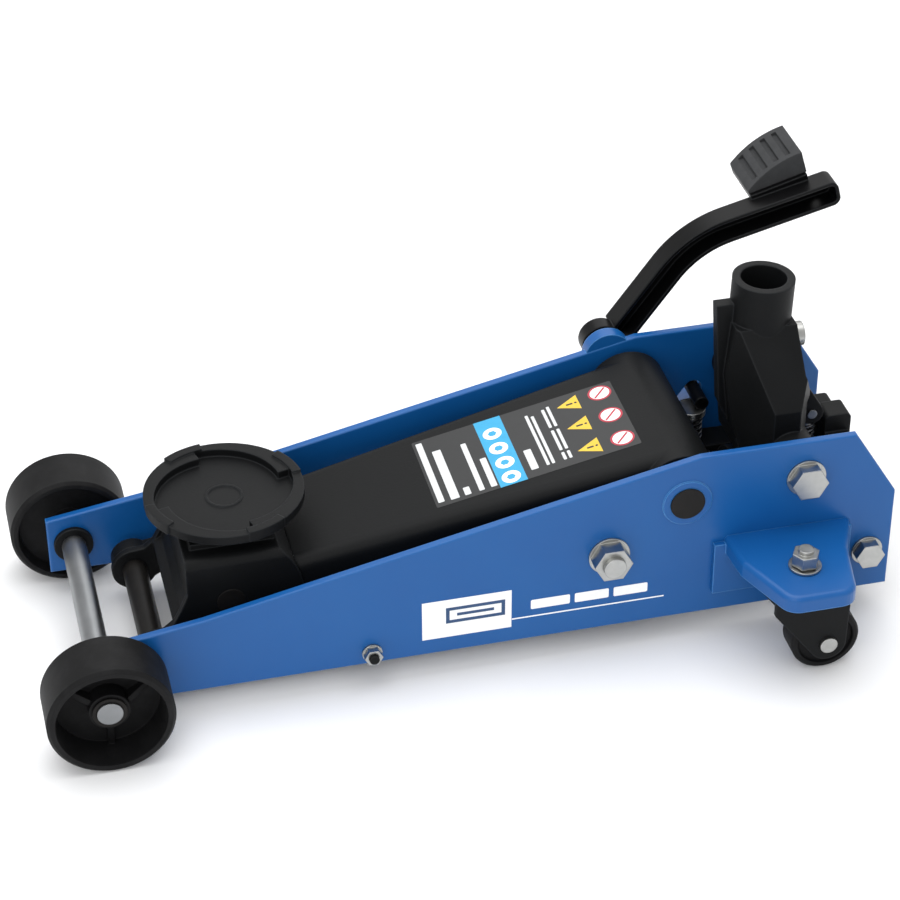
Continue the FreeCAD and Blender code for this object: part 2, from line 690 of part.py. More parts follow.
arm_bores = [
    rod_between("arm_pivot_bore", pivot[0], pivot[1], -95, 95, d.shaft_radius + 4),
    rod_between("arm_front_bore", carrier_pivot[0], carrier_pivot[1], -60, 60,
                d.carrier_pin + d.fit_gap),
    rod_between("arm_lever_bore", lever_pin[0], lever_pin[1], -40, 40, 7),
    rod_between("arm_ram_room", pivot[0], pivot[1], -26, 26, d.barrel_radius - 7)]
node("lift_arm", cut("lift_arm", fuse("arm_solid", *arm_parts), *arm_bores))
node("arm_bushes", both_sides("arm_bushes", lambda name, sign: ring(
    name, "y", (pivot[0], span(sign, d.barrel_half - 24, d.barrel_half)[0], pivot[1]), 24,
    d.shaft_radius + 4, d.shaft_radius + d.fit_gap)))
node("lever_pin", rod_between("lever_pin", lever_pin[0], lever_pin[1], -37, 37, 7))
node("lever_roller", ring("lever_roller", "y", (lever_pin[0], -22, lever_pin[1]), 44,
                          11, 7.05))

# ---------------------------------------------------------------- saddle carrier
def carrier_cheek(name, sign):
    """A side of the carrier, cut round at the back and reaching forward to the link's eye."""
    x, z = carrier_pivot
    front, top = X(d.carrier_front), d.carrier_top
    low, high = span(sign, d.carrier_half - d.carrier_wall, d.carrier_half)
    fx, fz = link_front
    rear = common(f"{name}_rear", rod_between(f"{name}_swing", x, z, low, high, d.carrier_swing),
                  box(f"{name}_band", (x - 2, low, d.carrier_foot + 5), (x + 70, high, top)))
    ahead = slab(f"{name}_ahead", "XZ", [
        (front, top), (x, top), (x, d.carrier_foot + 5), (x - 6, d.carrier_foot - 8),
        (fx, fz - d.eye_radius),
        (fx - 8, fz), (fx, fz + d.eye_radius), (fx + 9, fz + d.eye_radius + 1), (fx + 17, fz + 26),
        (fx + 23, fz + 37), (front, fz + 50)], low, high)
    return [rear, ahead, rod_between(f"{name}_eye", fx, fz, low, high, d.eye_radius)]


x, z = carrier_pivot
front = X(d.carrier_front)
half = d.carrier_half
roof_rear = X(147)
roof = slab("carrier_roof", "YZ", [(-half, d.carrier_top - 12), (half, d.carrier_top - 12),
                                   (half, d.carrier_top),
                                   (-half, d.carrier_top)], front, roof_rear)
round_body(roof, d.carrier_round, lambda p: near(p.z, d.carrier_top) and near(abs(p.y), half))
roof_room = box("carrier_roof_room", (front + 1, -half + d.carrier_wall, d.carrier_top - 13),
                (roof_rear + 1, half - d.carrier_wall, d.carrier_top - d.carrier_wall))
carrier_parts = [
    cut("carrier_roof_shell", roof, roof_room),
    slab("carrier_front_wall", "XZ", [
        (front, d.carrier_top - 9), (front + 6, d.carrier_top - 9), (front + 6, 78), (front - 1, 64),
        (front - 12, 60), (front - 12, 64), (front - 5, 68),
        (front, 80)], -half, half),
    common("carrier_apron", ring("carrier_apron_ring", "y", (x, -d.carrier_half + 5, z),
                                 d.carrier_half * 2 - 10, d.carrier_swing, d.carrier_swing - 7.5),
           box("carrier_apron_band", (x + 30, -half, 103.5), (x + 60, half, d.carrier_top))),
    rod("carrier_stud_boss", "z", (X(d.saddle_back), 0, 96), 20, 22),
    box("carrier_seat", (X(80), -d.seat_half, d.carrier_top - 1),
        (X(146), d.seat_half, d.carrier_top + 5)),
    rod("carrier_turntable", "z", (X(d.saddle_back), 0, d.carrier_top), 11.6, 38)]
for side, sign in SIDES:
    carrier_parts += carrier_cheek(f"carrier_{side}", sign)
carrier_blank = fuse("carrier_solid", *carrier_parts)
corner_cut = []
for side, sign in SIDES:
    low, high = span(sign, half - d.carrier_round, half + 2)
    square = box(f"carrier_corner_{side}", (front - 2, low, d.carrier_top - d.carrier_round),
                 (x + 60, high, d.carrier_top + 3))
    rounding = rod(f"carrier_rounding_{side}", "x", (front - 3, sign * (half - d.carrier_round),
                                                     d.carrier_top - d.carrier_round), 110, d.carrier_round)
    corner_cut.append(cut(f"carrier_corner_cut_{side}", square, rounding))
carrier_bores = [
    rod("carrier_stud_bore", "z", (X(d.saddle_back), 0, 90), 50,
        d.stud_radius + d.fit_gap),
    rod_between("carrier_pin_bore", x, z, -half - 2, half + 2, d.carrier_pin),
    rod_between("carrier_link_bore", link_front[0], link_front[1], -half - 2, half + 2, d.link_pin)]
node("saddle_carrier", cut("saddle_carrier", carrier_blank, *corner_cut, *carrier_bores))
node("carrier_pin", rod_between("carrier_pin", x, z, -half - 0.6, half + 0.6, d.carrier_pin))
node("front_link_shaft", rod_between("front_link_shaft", link_front[0], link_front[1], -d.link_outer - 4,
                                     d.link_outer + 4, d.link_pin))
node("link_clips", both_sides("link_clips", lambda name, sign: ring(
    name, "y", (link_front[0], span(sign, d.link_outer + 0.5, d.link_outer + 2.3)[0], link_front[1]),
    1.8, d.link_pin + 4, d.link_pin)))

# ---------------------------------------------------------------- saddle
def offset_disc(name, angle, offset, low, high, radius):
    """A disc whose middle is moved off the saddle's own axis."""
    turned = math.radians(angle)
    x, y = X(d.saddle_back) + offset * math.cos(turned), offset * math.sin(turned)
    return rod(name, "z", (x, y, low), high - low, radius)


def sector(name, start, sweep, low, high, radius):
    """A slice of a disc round the saddle's axis."""
    slice_of = doc.addObject("Part::Cylinder", name)
    bind(slice_of, "Radius", radius)
    bind(slice_of, "Height", high - low)
    slice_of.Angle = sweep
    return put(slice_of, (X(d.saddle_back), 0, low), Rotation(V(0, 0, 1), start))


def saddle_lobe(i):
    """A quarter of the rim, whose inner wall winds outward, with a raised lug at its start."""
    start = 15 + 90 * i
    floor, top = d.saddle_floor, d.saddle_top
    name = f"saddle_lobe_{i}"
    quarter = common(f"{name}_quarter", sector(f"{name}_sector", start, 90, floor - 0.5, top - 1.7, 70),
                     offset_disc(f"{name}_outer", start + 135, 0.8, floor - 1, top, d.saddle_radius - 0.9))
    lug = sector(f"{name}_lug", start - 7, 30, floor - 0.5, top, d.saddle_radius)
    return [cut(f"{name}_wall", quarter, offset_disc(f"{name}_inner", start + 135, 7.07, floor - 2,
                                                     top + 1, d.saddle_radius - 11.7)),
            cut(f"{name}_raised", lug, offset_disc(f"{name}_lug_bore", 0, 0, floor - 2, top + 1,
                                                   d.saddle_radius - 7.3))]


def saddle():
    """A cast dish with a winding rim of four lobes, turning on a short stud."""
    centre = (X(d.saddle_back), 0)
    dish = doc.addObject("Part::Cone", "saddle_dish")
    bind(dish, "Radius1", d.saddle_radius - 6)
    bind(dish, "Radius2", d.saddle_radius - 1.3)
    bind(dish, "Height", d.saddle_floor - d.saddle_bottom)
    put(dish, (*centre, d.saddle_bottom))
    parts = [dish, ring("saddle_circle", "z", (*centre, d.saddle_floor - 0.5), 1.5, 15, 13),
             rod("saddle_stud", "z", (*centre, 97), 37, d.stud_radius)]
    for i in range(4):
        parts += saddle_lobe(i)
    return fuse("saddle", *parts)


node("saddle", saddle())

# ---------------------------------------------------------------- link rods
def link_rod(side, sign):
    """A flat bar with an eye at each end, parallel to the arm's own pivots."""
    low, high = span(sign, d.link_inner, d.link_outer)
    dx = number(link_frame[0] - link_front[0])
    dz = number(link_frame[1] - link_front[1])
    length = math.hypot(dx, dz)
    bar = beam(f"link_{side}_bar", link_front, math.degrees(math.atan2(dz, dx)),
               length, d.link_width / 2, d.link_width / 2, low, high)
    eyes = [rod_between(f"link_{side}_eye_{i}", at[0], at[1], low, high, d.link_eye)
            for i, at in enumerate((link_front, link_frame))]
    bores = [rod_between(f"link_{side}_bore_{i}", at[0], at[1], low - 1, high + 1, d.link_pin + d.fit_gap)
             for i, at in enumerate((link_front, link_frame))]
    return cut(f"link_rod_{side}", fuse(f"link_{side}_solid", bar, *eyes), *bores)


for side, sign in SIDES:
    node(f"link_rod_{side}", link_rod(side, sign))

# ---------------------------------------------------------------- hydraulic unit
ram_z = d.ram_height
hand_x = handle[0] + d.roller_behind
quick_x = X(d.quick_back)


def rounded_lump(name, low, high, rear, top):
    """A lump on the block's back, with its upper corners rounded."""
    front = X(d.tower_front)
    lump = slab(name, "XZ", [(front, d.block_top), (rear, d.block_top), (rear, top), (front, top)],
                low, high)
    return round_body(lump, 4, lambda p: near(p.z, top) and (near(p.x, front) or near(p.x, rear)))


def pump_block():
    """The cast block: cylinder socket, pump tower, ears for its bolts and the quick pump's arm."""
    front, rear = X(d.block_front), X(d.block_rear)
    foot, top, side = d.block_foot, d.block_top, d.block_half
    solids = [
        box("block_main", (front, -side, foot), (rear, side, d.block_low_top)),
        box("block_back", (X(608), -side, d.block_low_top - 1), (rear, side, top)),
        box("block_ears", (X(606), -d.plate_inner, 44), (rear, d.plate_inner, 76)),
        box("block_quick_arm", (X(504), 55, 38),
            (X(607), 81, 76)),
        box("block_step", (X(d.tower_front), -30, top - 1), (X(628), 28, 124)),
        rounded_lump("block_lump_left", -15, 6, X(630), 140),
        rounded_lump("block_lump_right", 6, 28, X(626), 133)]
    bores = [
        rod("block_tube_socket", "x", (front - 1, 0, ram_z), 6, d.tube_radius),
        rod("block_ram_bore", "x", (front, 0, ram_z), 47, d.ram_radius + d.fit_gap),
        rod("block_gland_socket", "z", (hand_x, 0, d.block_low_top - 3), 6, d.plunger_radius + 3),
        rod("block_hand_bore", "z", (hand_x, 0, 81.5), 12,
            d.plunger_radius + d.fit_gap),
        rod("block_quick_bore", "z", (quick_x, d.quick_side, 42), 40,
            d.quick_radius + d.fit_gap)]
    for name, sign in (("l", -1), ("r", 1)):
        bores.append(side_rod(f"block_bolt_bore_{name}", sign, rear_bolt[0], rear_bolt[1], 55,
                              d.plate_inner + 1, 7))
    return cut("pump_block", fuse("block_solid", *solids), *bores)


node("pump_block", pump_block())
tube_at = X(d.tube_front)
tank_at = X(d.tank_front)
ram_at = X(d.ram_front)
node("ram_cylinder", cut(
    "ram_cylinder", rod("cylinder_wall", "x", (tube_at, 0, ram_z), 50, d.tube_radius),
    rod("cylinder_bore", "x", (tube_at - 1, 0, ram_z), 60, d.ram_radius + d.fit_gap)))
node("ram_gland", ring("ram_gland", "x", (tube_at - 6, 0, ram_z), 6, 28, d.ram_radius + d.fit_gap))
node("ram", fuse(
    "ram", rod("ram_rod", "x", (ram_at + 6, 0, ram_z), d.ram_rear - d.ram_front - 6, d.ram_radius),
    rod("ram_head", "x", (ram_at, 0, ram_z), 8, d.ram_head)))
node("oil_tank", cut(
    "oil_tank", rod("tank_wall", "x", (tank_at, 0, ram_z), d.block_front - d.tank_front, d.tank_radius),
    rod("tank_room", "x", (tank_at + 4, 0, ram_z), 60, d.tank_radius - 3),
    rod("tank_mouth", "x", (tank_at - 1, 0, ram_z), 8, d.tube_radius),
    rod("tank_plug_hole", "z", (X(d.plug_back), 0, 100), 9, 4),
    rod("tank_valve_hole", "z", (handle[0], 0, 100), 9, d.valve_radius + d.fit_gap)))
tank_top = ram_z + d.tank_radius
plug = (X(d.plug_back), 0)
node("filler_plug", fuse(
    "filler_plug", rod("plug_stem", "z", (*plug, tank_top - 5), 5.5, 4),
    rod("plug_flange", "z", (*plug, tank_top + 0.2), 2, 6.5),
    hexagon("plug_hex", "z", (*plug, tank_top + 2), 4, 9)))

# ---------------------------------------------------------------- hand pump and release valve
hand_at = (hand_x, 0)
gland_foot = d.block_low_top - 3
node("hand_gland", cut(
    "hand_gland", fuse("gland_solid",
                       rod("gland_collar", "z", (*hand_at, gland_foot), 6, d.plunger_radius + 3),
                       rod("gland_sleeve", "z", (*hand_at, gland_foot), 21.5, d.plunger_radius + 1.6)),
    rod("gland_bore", "z", (*hand_at, gland_foot - 1), 30, d.plunger_radius + d.fit_gap)))
node("hand_plunger", fuse(
    "hand_plunger", rod("hand_rod", "z", (*hand_at, 101), d.cap_top - 105, d.plunger_radius),
    rod("hand_cap", "z", (*hand_at, d.cap_top - 8), 8, 13)))
node("release_spindle", fuse(
    "release_spindle", rod("spindle_stem", "z", (handle[0], 0, 100.2),
                           handle[1] - 11 - 100.2, d.valve_radius),
    rod("spindle_neck", "z", (handle[0], 0, handle[1] - 14), 12, d.valve_neck),
    ball("spindle_ball", (handle[0], 0, handle[1]), d.valve_ball)))

# ---------------------------------------------------------------- handle socket
socket_foot = handle[0] - d.socket_ahead
socket_length = (d.socket_top - d.handle_height) / math.cos(math.radians(d.socket_lean.value))


def leaned(name, foot, lean, start, length, radius):
    """A round bar on an axis that leans ahead, from a distance above the handle pivot's height."""
    bar = doc.addObject("Part::Cylinder", name)
    bind(bar, "Radius", radius)
    bind(bar, "Height", length)
    slope = math.radians(lean.value)
    place = (foot - start * math.sin(slope), 0, handle[1] + start * math.cos(slope))
    return put(bar, place, Rotation(V(0, 1, 0), -lean.value))


def tube_bar(name, start, length, radius):
    return leaned(name, socket_foot, d.socket_lean, start, length, radius)


def driver_bar(name, start, length, radius):
    return leaned(name, handle[0], d.driver_lean, start, length, radius)


def handle_socket():
    """A cast socket: a tube on a flared yoke, with bosses on the pivot bolts and roller lugs."""
    hx, hz = handle
    half = d.yoke_half
    front_view = slab("yoke_front_view", "YZ", [
        (-half, 118), (half, 118), (half, 180), (21, 238),
        (-21, 238), (-half, 180)], hx - 60, hx + 60)
    side_view = slab("yoke_side_view", "XZ", [
        (hx - 30, 118), (hx + 27, 118), (hx + 27, 134),
        (hx + 22, 181), (hx + 13, 203), (hx + 11, 238),
        (hx - 38, 238), (hx - 42, 190), (hx - 37, 150)],
        -60, 60)
    plan = slab("yoke_plan", "XY", [
        (hx - 42, -10), (hx - 16, -half), (hx + 6, -half), (hx + 27, -24),
        (hx + 27, 24), (hx + 6, half), (hx - 16, half), (hx - 42, 10)], 110, 245)
    yoke = common("yoke_form", front_view, side_view, plan)
    rib = slab("socket_rib", "XZ", [
        (hx - 30, 130), (hx - 20, 130), (hx - 20, 254),
        (hx - 51, 254), (hx - 45, 163)], -5, 5)
    tube = tube_bar("socket_tube", 30, socket_length - 30, d.socket_radius)
    collar = rod("socket_screw_collar", "x", (hx + 2, 0, d.lock_height), 14, 10)
    room = box("yoke_room", (hx - 18, -40, 110), (hx + 60, 40, 175))
    body = fuse("socket_body", cut("yoke_hollow", fuse("yoke_solid", yoke, rib, tube, collar), room),
                *roller_lugs(), *[side_rod(f"socket_boss_{i}", sign, hx, hz, 42, 84, 20)
                                  for i, sign in enumerate((-1, 1))])
    deep = socket_length - d.socket_depth
    bores = [
        tube_bar("socket_bore", deep, d.socket_depth + 5, d.socket_bore),
        driver_bar("socket_driver_bore", 20, 60, 7.3),
        rod("socket_screw_bore", "x", (hx, 0, d.lock_height), 40, 5.05),
        rod_between("socket_pin_bore", roller_at[0], roller_at[1], -30, 30, 4)]
    bores += [side_rod(f"socket_pivot_bore_{i}", sign, hx, hz, 35, 90,
                       d.handle_bolt + d.fit_gap) for i, sign in enumerate((-1, 1))]
    return cut("handle_socket", body, *bores)


def driver_slot():
    """A slot across the driver's top end, which the handle's inner rod turns."""
    slope = math.radians(d.driver_lean.value)
    foot = (handle[0] - 51.5 * math.sin(slope), handle[1] + 51.5 * math.cos(slope))
    return beam("driver_slot", foot, 90 + d.driver_lean.value, 6, 2, 2, -10, 10)


def roller_lugs():
    """Two lugs under the yoke's roof, each side of the roller that presses the pump plunger."""
    x, z = roller_at
    lugs = []
    for i, sign in enumerate((-1, 1)):
        low, high = span(sign, 14, 21)
        lugs.append(slab(f"lug_{i}", "XZ", [
            (x - 34, 178), (x - 6, 178), (x + 9.2, z + 4), (x - 4, z - 9.2), (x - 24, z + 14)],
            low, high))
        lugs.append(rod_between(f"lug_end_{i}", x, z, low, high, 10))
    return lugs


roller_at = (handle[0] + d.roller_behind, handle[1] + d.roller_above)
node("handle_socket", handle_socket())
node("socket_roller", ring("socket_roller", "y", (roller_at[0], -13.5, roller_at[1]),
                           27, d.roller_radius, 4.05))
node("roller_pin", rod_between("roller_pin", roller_at[0], roller_at[1], -22.5, 22.5,
                               4))
lock_x = handle[0]
node("handle_lock_screw", fuse(
    "handle_lock_screw", rod("lock_shank", "x", (lock_x + 6, 0, d.lock_height), 11, 5),
    rod("lock_head", "x", (lock_x + 16.4, 0, d.lock_height), 7.2, 10)))
node("release_driver", cut(
    "release_driver", fuse("driver_solid", driver_bar("driver_cup", 1, 19, 12),
                           driver_bar("driver_shaft", 15, 40, 7)),
    ball("driver_socket", (handle[0], 0, handle[1]), d.valve_ball + 0.5),
    driver_slot()))

# ---------------------------------------------------------------- foot pedal
rise = math.radians(d.pedal_rise.value)
fall = math.radians(d.pedal_fall.value)
corner = (X(d.bend_corner_back), d.bend_corner_height)
tangent = d.pedal_bend * math.tan((rise - fall) / 2)
bend_in = (corner[0] - tangent * math.cos(rise), corner[1] - tangent * math.sin(rise))
bend_out = (corner[0] + tangent * math.cos(fall), corner[1] + tangent * math.sin(fall))
bend_centre = (bend_in[0] + d.pedal_bend * math.sin(rise), bend_in[1] - d.pedal_bend * math.cos(rise))
first_run = 72
second_run = (d.pedal_tip_back - d.bend_corner_back) / math.cos(fall) - tangent


def channel(name, inset, low, high):
    """The lever's bent form: a steep straight, an arc, and a gentle straight to the tip."""
    half = d.pedal_width / 2 - inset
    start = (bend_in[0] - first_run * math.cos(rise), bend_in[1] - first_run * math.sin(rise))
    corner = 7 - number(inset)
    reach = second_run - inset - corner
    parts = [beam(f"{name}_steep", start, d.pedal_rise.value, first_run, half, half, low, high),
             beam(f"{name}_gentle", bend_out, d.pedal_fall.value, reach, half, half, low, high),
             beam(f"{name}_nose", bend_out, d.pedal_fall.value, reach + corner, half - corner,
                  half - corner, low, high)]
    for i, up in enumerate((corner - half, half - corner)):
        parts.append(rod_between(f"{name}_corner_{i}",
                                 bend_out[0] + reach * math.cos(fall) - up * math.sin(fall),
                                 bend_out[1] + reach * math.sin(fall) + up * math.cos(fall),
                                 low, high, corner))
    sector = doc.addObject("Part::Cylinder", f"{name}_sector")
    bind(sector, "Radius", d.pedal_bend + half)
    bind(sector, "Height", high - low)
    sector.Angle = d.pedal_rise.value - d.pedal_fall.value
    put(sector, (bend_centre[0], low, bend_centre[1]),
        TURNS["y"] * Rotation(V(0, 0, 1), -90 - d.pedal_rise.value))
    core = rod_between(f"{name}_core", bend_centre[0], bend_centre[1], low - 1, high + 1,
                       d.pedal_bend - half)
    return fuse(name, *parts, cut(f"{name}_arc", sector, core))


def pedal_lever():
    """A bent channel on a hub, with the crank and finger that press the quick pump."""
    low, high = d.pedal_inner, d.pedal_outer
    hub_end = 118
    out = channel("channel_outer", 0, low + 2, high)
    hollow = channel("channel_hollow", d.pedal_wall, low + 1, high - d.pedal_wall)
    nut_room = rod_between("pedal_nut_room", pedal[0], pedal[1], hub_end, high + 5, 15)
    reach = (number(finger[0] - pedal[0]), number(finger[1] - pedal[1]))
    length = math.hypot(*reach)
    crank = beam("pedal_crank", pedal, math.degrees(math.atan2(reach[1], reach[0])), length,
                 9, 12, low, low + 6)
    hub = rod_between("pedal_hub", pedal[0], pedal[1], low, hub_end, d.pedal_hub)
    tip = rod_between("pedal_finger_eye", finger[0], finger[1], low, low + 6, 9)
    pin = rod_between("pedal_finger", finger[0], finger[1], d.finger_end, low + 8, d.finger_radius)
    plate = beam("pedal_plate", pad_at, pad_slope, 50, 2.5, 3, high - 5, pad_edge)
    pieces = [cut("channel_shell", out, hollow, nut_room), crank, hub, tip, pin, plate]
    bores = [rod_between("pedal_bore", pedal[0], pedal[1], low - 5, hub_end + 5, d.pedal_stud + d.fit_gap),
             rod_between("pedal_tip_hole", X(637), 273, high - 6, high + 5, 4)]
    return cut("pedal_lever", fuse("pedal_solid", *pieces), *bores)


pad_slope = 16.5
pad_at = (X(583), 270)
pad_edge = d.pedal_outer + 46
node("pedal_lever", pedal_lever())


def pedal_pad():
    """A rubber tread block that thickens toward the back, with grooves across it."""
    run = math.radians(pad_slope)
    cos, sin = math.cos(run), math.sin(run)

    def at(along, up):
        return (pad_at[0] + along * cos - up * sin, pad_at[1] + along * sin + up * cos)

    blank = slab("pad_blank", "XZ", [at(0, 3.05), at(51, 3.05), at(51, 28), at(0, 28)],
                 d.pedal_outer - 1, pad_edge + 1)
    middle = at(48.4, -56.8)
    crown = rod_between("pad_crown", middle[0], middle[1], d.pedal_outer - 5, pad_edge + 5, 79.3)
    pad = common("pad_crowned", blank, crown)
    grooves = []
    for i, (along, up) in enumerate(((9, 9.5), (19.5, 14.5), (30, 17.8), (40.5, 19.6))):
        grooves.append(beam(f"pad_groove_{i}", at(along, up), pad_slope + 90, 12, 2.2, 2.2,
                            d.pedal_outer + 4, pad_edge - 4))
    return cut("pedal_pad", pad, *grooves)


node("pedal_pad", pedal_pad())
node("pedal_stud", fuse(
    "pedal_stud", rod_between("stud_bar", pedal[0], pedal[1], d.plate_inner + 1, 125, d.pedal_stud),
    hexagon("stud_nut", "y", (pedal[0], 118.4, pedal[1]), 7, 18)))
quick_at = (quick_x, d.quick_side)
node("quick_plunger", fuse(
    "quick_plunger", rod("quick_rod", "z", (*quick_at, 62), d.quick_top - 65, d.quick_radius),
    rod("quick_cap", "z", (*quick_at, d.quick_top - 5.7), 5.7, 12.5)))

# ---------------------------------------------------------------- springs
def point(x, y, z):
    return V(number(x), number(y), number(z))


UP = V(0, 0, 1)
node("hand_spring", coil("hand_spring", point(*hand_at, 96.6), UP, 33.9, 11.7, 1.3, 7))
node("quick_spring", coil("quick_spring", point(*quick_at, 77.4), UP, 25.2, 9.4, 1.2, 5))
node("pedal_spring", coil("pedal_spring", point(pedal[0], 98.6, pedal[1]), V(0, 1, 0), 3.6, 12.5, 1.1, 1.4))


def return_spring(name, sign):
    """An extension spring from the lever's pin to the block, with a loop at each end."""
    here = point(lever_pin[0], sign * d.return_side, lever_pin[1])
    there = point(X(600), sign * d.return_side, 60)
    along = (there - here).normalize()
    first = here + along * 9
    last = there - along * 9
    body = coil(f"{name}_coil", first, along, (last - first).Length, d.return_radius.value - 1,
                d.return_wire.value / 2, 14)
    hooks = []
    for i, (end, eye) in enumerate(((first, here), (last, there))):
        hook = doc.addObject("Part::Torus", f"{name}_hook_{i}")
        hook.Radius1 = 5
        hook.Radius2 = 1
        hook.Placement = Placement(eye + (end - eye) * 0.45, TURNS["y"])
        hooks.append(hook)
    return group(name, body, *hooks)


node("return_springs", both_sides("return_springs", return_spring))

# ---------------------------------------------------------------- write one file for each node
doc.recompute()
faults = [o.Label for o in doc.Objects if "Invalid" in o.State or "Error" in o.State]
faults += [o.Label for o in nodes.values() if o.Shape.isNull() or not o.Shape.isValid()]
if faults:
    raise RuntimeError(f"these objects did not build: {faults}")

os.makedirs("parts", exist_ok=True)
whole = FreeCAD.BoundBox()
for name, thing in nodes.items():
    thing.Shape.exportStep(f"parts/{name}.step")
    whole.add(thing.Shape.BoundBox)
print(len(nodes), "nodes; box", whole)
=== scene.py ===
import bmesh
import bpy
import math
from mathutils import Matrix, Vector


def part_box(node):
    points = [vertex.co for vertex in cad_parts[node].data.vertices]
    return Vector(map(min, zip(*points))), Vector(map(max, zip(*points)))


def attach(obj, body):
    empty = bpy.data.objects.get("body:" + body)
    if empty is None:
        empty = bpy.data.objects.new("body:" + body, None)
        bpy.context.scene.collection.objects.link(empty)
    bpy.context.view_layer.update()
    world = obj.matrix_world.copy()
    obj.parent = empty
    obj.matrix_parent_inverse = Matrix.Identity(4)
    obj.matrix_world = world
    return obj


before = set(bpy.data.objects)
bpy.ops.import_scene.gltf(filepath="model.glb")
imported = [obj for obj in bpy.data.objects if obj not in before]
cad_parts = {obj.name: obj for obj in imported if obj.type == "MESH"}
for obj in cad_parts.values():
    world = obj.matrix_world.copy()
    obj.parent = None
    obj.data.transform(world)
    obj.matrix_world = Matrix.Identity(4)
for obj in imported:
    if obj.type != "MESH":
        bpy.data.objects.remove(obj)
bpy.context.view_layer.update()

# Side plates: two flame-cut steel plates, 7 mm thick, that carry every shaft and bolt.
# They are stove-enamelled blue, with a paler blue painted on their edges as a highlight.


def linear(hex_colour):
    """An sRGB hex colour as the linear colour that a shader takes."""
    parts = [int(hex_colour[i:i + 2], 16) / 255 for i in (1, 3, 5)]
    return [c / 12.92 if c <= 0.04045 else ((c + 0.055) / 1.055) ** 2.4 for c in parts] + [1.0]


def add(tree, kind, inputs=None, **settings):
    """Add a shader node; each input is a number, a colour or another node's output."""
    made = tree.nodes.new("ShaderNode" + kind)
    for name, value in settings.items():
        setattr(made, name, value)
    for socket, value in (inputs or {}).items():
        if isinstance(value, bpy.types.NodeSocket):
            tree.links.new(value, made.inputs[socket])
        else:
            made.inputs[socket].default_value = value
    return made


def new_finish(name):
    """An empty node material."""
    material = bpy.data.materials.new(name)
    material.use_nodes = True
    material.node_tree.nodes.clear()
    return material, material.node_tree


def dress(material, *nodes):
    """Give a material to CAD pieces by name."""
    for name in nodes:
        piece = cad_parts[name]
        piece.data.materials.clear()
        piece.data.materials.append(material)


def bevel_and_highlight_edges(tree, radius, flat, sharp):
    """Round a coat's normal at the edges, and find where it turns: 0 on the flat, 1 on a sharp edge, as the
    mask for a painted edge highlight.
    """
    rounded = add(tree, "Bevel", {"Radius": radius}, samples=6)
    facing = add(tree, "NewGeometry")
    turned = add(tree, "VectorMath", {0: rounded.outputs["Normal"], 1: facing.outputs["Normal"]},
                 operation="DOT_PRODUCT")
    edge = add(tree, "MapRange", {"Value": turned.outputs["Value"], "From Min": flat, "From Max": sharp})
    return rounded, edge


# Stoved enamel on steel plate: glossy, with the faint orange peel of sprayed paint, about 3 mm across.
# A bevel normal finds the edges, and a paler blue is painted there as a highlight.
blue_enamel, tree = new_finish("blue stoved enamel")
place = add(tree, "TexCoord")
mottle = add(tree, "TexNoise", {"Vector": place.outputs["Object"], "Scale": 14.0, "Detail": 3.0})
peel = add(tree, "TexNoise", {"Vector": place.outputs["Object"], "Scale": 330.0, "Detail": 2.0})
rounded, edge = bevel_and_highlight_edges(tree, 0.0016, 0.995, 0.80)
body_colour = add(tree, "Mix", {"Factor": mottle.outputs["Fac"], 6: linear("#0C4F92"),
                                7: linear("#125A9C")}, data_type="RGBA")
# Painted highlight: the edges are mixed towards a paler blue, standing in for light caught on rounded edges.
colour = add(tree, "Mix", {"Factor": edge.outputs["Result"], 6: body_colour.outputs[2],
                           7: linear("#4F90CF")}, data_type="RGBA")
relief = add(tree, "Bump", {"Strength": 0.05, "Distance": 0.0004, "Height": peel.outputs["Fac"],
                            "Normal": rounded.outputs["Normal"]})
shine = add(tree, "MapRange", {"Value": mottle.outputs["Fac"], "To Min": 0.26, "To Max": 0.40})
skin = add(tree, "BsdfPrincipled", {"Base Color": colour.outputs[2], "Roughness": shine.outputs["Result"],
                                    "Normal": relief.outputs["Normal"], "IOR": 1.5,
                                    "Specular IOR Level": 0.35})
add(tree, "OutputMaterial", {"Surface": skin.outputs["BSDF"]})
dress(blue_enamel, "side_plate_left", "side_plate_right", "caster_bracket_left", "caster_bracket_right")


# Panel and stripes on the left plate: thin screen-printed vinyl, with nothing written on it.
# Each shape is a closed film about a fifth of a millimetre thick, laid on the enamel.
film_gap = 0.00002    # metres between the film and the coat below it, so that the two don't share a face
plate_film = 0.00015
plate_print = 0.00022


def film(name, body, outline, thickness, at, material):
    """A thin closed slab from an outline, placed by a function from (u, v, height) to a point."""
    mesh = bpy.data.meshes.new(name)
    shape = bmesh.new()
    low = [shape.verts.new(at(u, v, film_gap)) for u, v in outline]
    high = [shape.verts.new(at(u, v, thickness)) for u, v in outline]
    count = len(outline)
    shape.faces.new(high)
    shape.faces.new(low[::-1])
    for i in range(count):
        j = (i + 1) % count
        shape.faces.new([low[i], low[j], high[j], high[i]])
    bmesh.ops.recalc_face_normals(shape, faces=shape.faces)
    shape.to_mesh(mesh)
    shape.free()
    mesh.materials.append(material)
    piece = bpy.data.objects.new(name, mesh)
    bpy.context.collection.objects.link(piece)
    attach(piece, body)
    return piece


def ink(name, hex_colour, second):
    """Screen-printed ink on vinyl: satin, with slightly uneven cover."""
    material, tree = new_finish(name)
    place = add(tree, "TexCoord")
    cover = add(tree, "TexNoise", {"Vector": place.outputs["Object"], "Scale": 160.0, "Detail": 4.0})
    tone = add(tree, "Mix", {"Factor": cover.outputs["Fac"], 6: linear(hex_colour), 7: linear(second)},
               data_type="RGBA")
    grain = add(tree, "Bump", {"Strength": 0.06, "Distance": 0.0002, "Height": cover.outputs["Fac"]})
    skin = add(tree, "BsdfPrincipled", {"Base Color": tone.outputs[2], "Roughness": 0.42,
                                        "Normal": grain.outputs["Normal"]})
    add(tree, "OutputMaterial", {"Surface": skin.outputs["BSDF"]})
    return material


